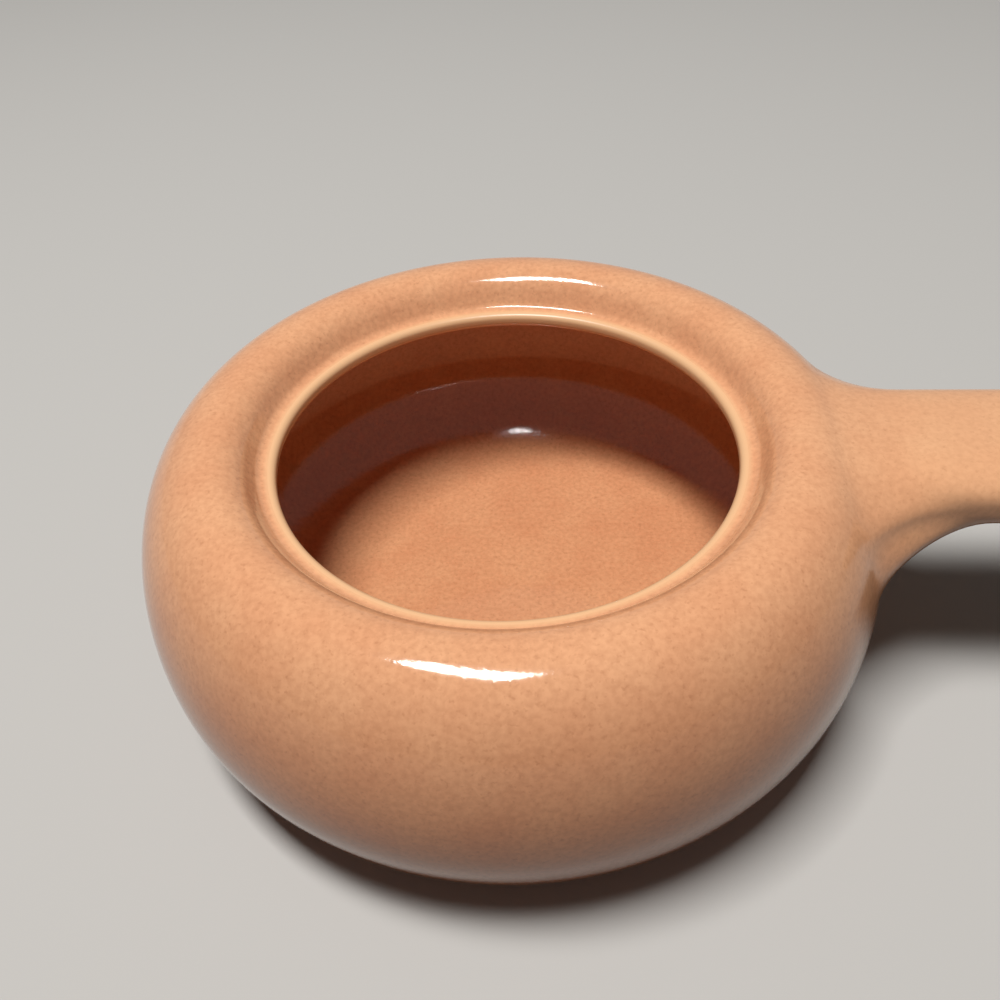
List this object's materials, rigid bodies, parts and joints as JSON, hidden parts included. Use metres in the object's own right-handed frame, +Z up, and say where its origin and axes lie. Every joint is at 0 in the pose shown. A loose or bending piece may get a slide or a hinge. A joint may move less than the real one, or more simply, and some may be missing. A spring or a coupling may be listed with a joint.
{
  "type": "bean pot",
  "caption": "Squat round stick-handled pot in glazed stoneware, with an incurved belly, a wide mouth, a recessed ledge for a lid and a bare clay foot ring.",
  "frame": {"origin": "on the pot's vertical axis, at the level of the table that the foot ring stands on", "axes": "+Z up along the pot's axis, out of the mouth; +X along the stick handle, away from the pot"},
  "size_m": [0.3047, 0.21, 0.084],
  "materials": {
    "glaze": "gloss",
    "bare_clay": "matte"
  },
  "bodies": {
    "root": {"pot_body": "glaze", "handle": "glaze", "foot_ring": "bare_clay"}
  },
  "joints": []
}
